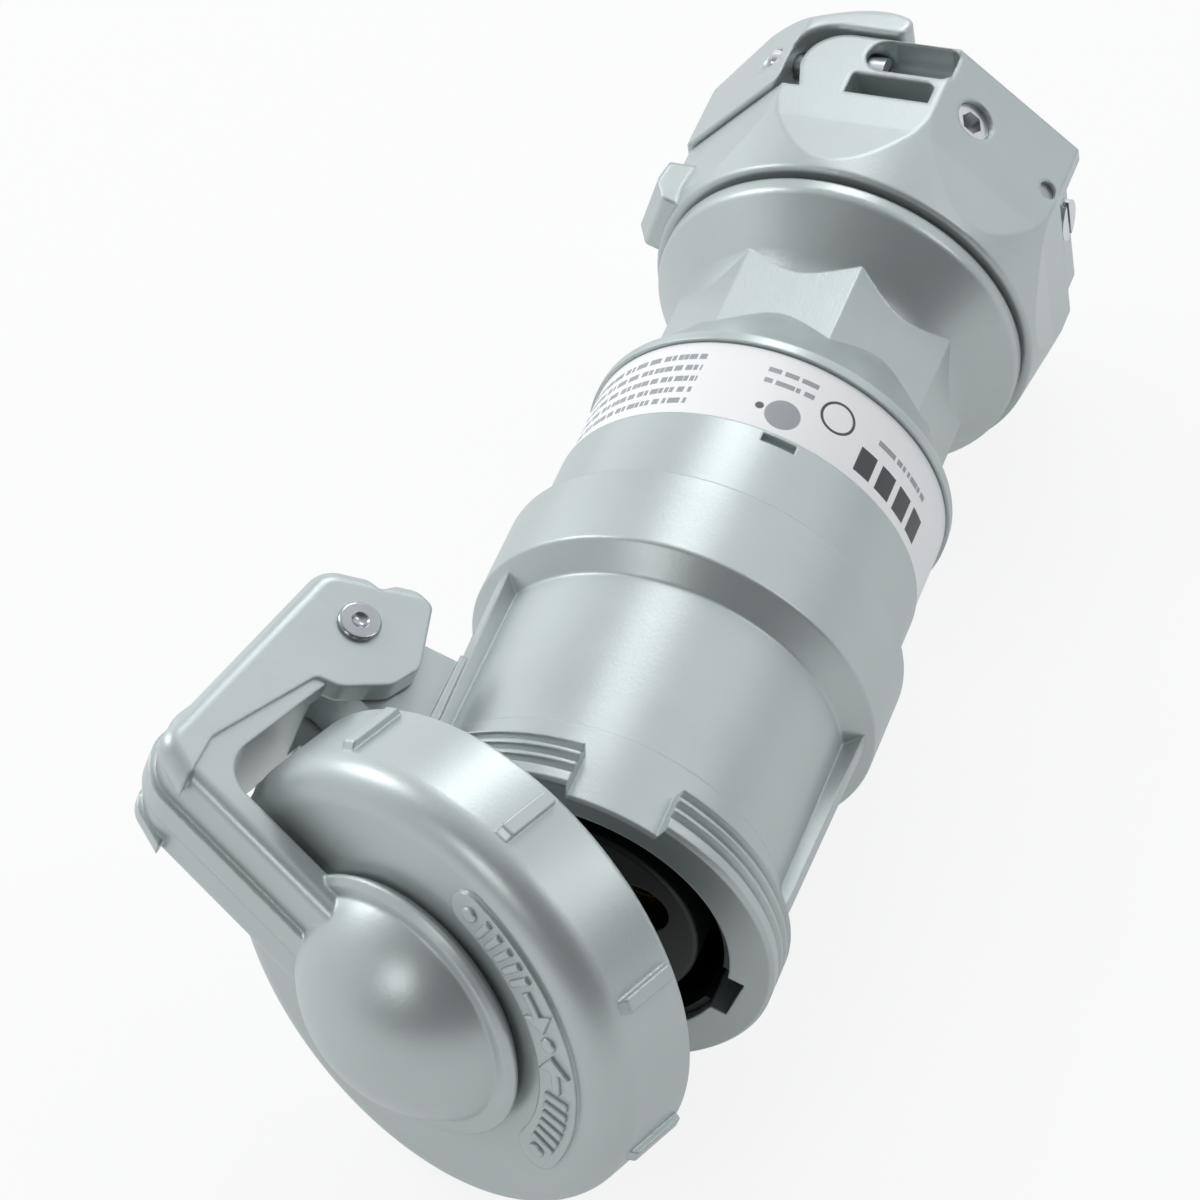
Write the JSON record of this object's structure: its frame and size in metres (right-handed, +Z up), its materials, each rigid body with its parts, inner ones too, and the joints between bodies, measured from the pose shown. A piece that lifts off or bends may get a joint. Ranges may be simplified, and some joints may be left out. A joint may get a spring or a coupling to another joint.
{
  "type": "industrial cable coupler",
  "caption": "Cast metal in-line cable coupler with a hinged screw cover standing ajar, an eight-sided gland nut and a clamp for the cable.",
  "frame": {"origin": "centre of the open mouth's front face, on the main axis", "axes": "+Y along the main axis from the mouth to the cable end, +Z up as it lies on a flat of the gland nut, +X to the right seen from the mouth"},
  "size_m": [0.1103, 0.2414, 0.09],
  "materials": {
    "cast_body": "satin",
    "cast_rear": "satin",
    "cast_nut": "satin",
    "cast_jaw": "satin",
    "cast_arm": "satin",
    "cast_cap": "satin",
    "label_white": "satin",
    "insulator_black": "matte",
    "fibre_guard": "matte",
    "brass": "satin",
    "zinc_screws": "polished",
    "steel_pin": "polished",
    "steel_washer": "satin",
    "steel_ring": "satin",
    "rubber_black": "matte"
  },
  "bodies": {
    "coupler_body": {"front_sleeve": "cast_body", "rear_housing": "cast_rear", "label_band": "label_white", "insulator_liner": "insulator_black", "insulator_block": "insulator_black", "contact_sockets": "brass", "terminal_screws": "zinc_screws", "terminal_guard": "fibre_guard", "retaining_ring": "steel_ring", "housing_gasket": "rubber_black", "cable_bushing": "rubber_black"},
    "gland_slider": {"gland_washer": "steel_washer"},
    "gland": {"gland_nut": "cast_nut", "lock_screw": "zinc_screws", "guide_pin": "steel_pin", "side_screw": "zinc_screws"},
    "jaw": {"hook_jaw": "cast_jaw"},
    "screw_upper": {"clamp_screw_upper": "zinc_screws"},
    "screw_lower": {"clamp_screw_lower": "zinc_screws"},
    "cover": {"cover_arm": "cast_arm", "hinge_pin": "steel_pin", "hinge_washers": "steel_washer", "cap_spring_washer": "steel_washer", "pivot_washer": "steel_washer", "pivot_screw": "zinc_screws"},
    "cap": {"cap_shell": "cast_cap", "cap_gasket": "rubber_black"}
  },
  "joints": [
    {"name": "gland_advance", "type": "slide", "parent": "coupler_body", "child": "gland_slider", "axis": [0, 1, 0], "range_m": [0, 0.004]},
    {"name": "gland_turn", "type": "hinge", "parent": "gland_slider", "child": "gland", "pos_m": [0, 0.16, 0], "axis": [0, 1, 0], "range_deg": [0, 721]},
    {"name": "jaw_slide", "type": "slide", "parent": "gland", "child": "jaw", "axis": [1, 0, 0], "range_m": [-0.003, 0.0015]},
    {"name": "screw_upper_turn", "type": "hinge", "parent": "gland", "child": "screw_upper", "pos_m": [0, 0.183, 0.031], "axis": [-1, 0, 0], "range_deg": [-1360, 690]},
    {"name": "screw_lower_turn", "type": "hinge", "parent": "gland", "child": "screw_lower", "pos_m": [0, 0.183, -0.031], "axis": [-1, 0, 0], "range_deg": [-1360, 690]},
    {"name": "cover_hinge", "type": "hinge", "parent": "coupler_body", "child": "cover", "pos_m": [-0.04874, 0.0271, 0.02325], "axis": [-0.4305, 0, -0.9026], "range_deg": [-22, 105]},
    {"name": "cap_turn", "type": "hinge", "parent": "cover", "child": "cap", "pos_m": [-0.01643, -0.02845, 0.00784], "axis": [-0.3381, -0.9272, 0.1613], "range_deg": [0, 90]}
  ],
  "couplings": [
    {"joint": "gland_turn", "follows": "gland_advance", "rad_per_m": 3141.6},
    {"joint": "screw_upper_turn", "follows": "jaw_slide", "rad_per_m": 7854},
    {"joint": "screw_lower_turn", "follows": "jaw_slide", "rad_per_m": 7854}
  ]
}
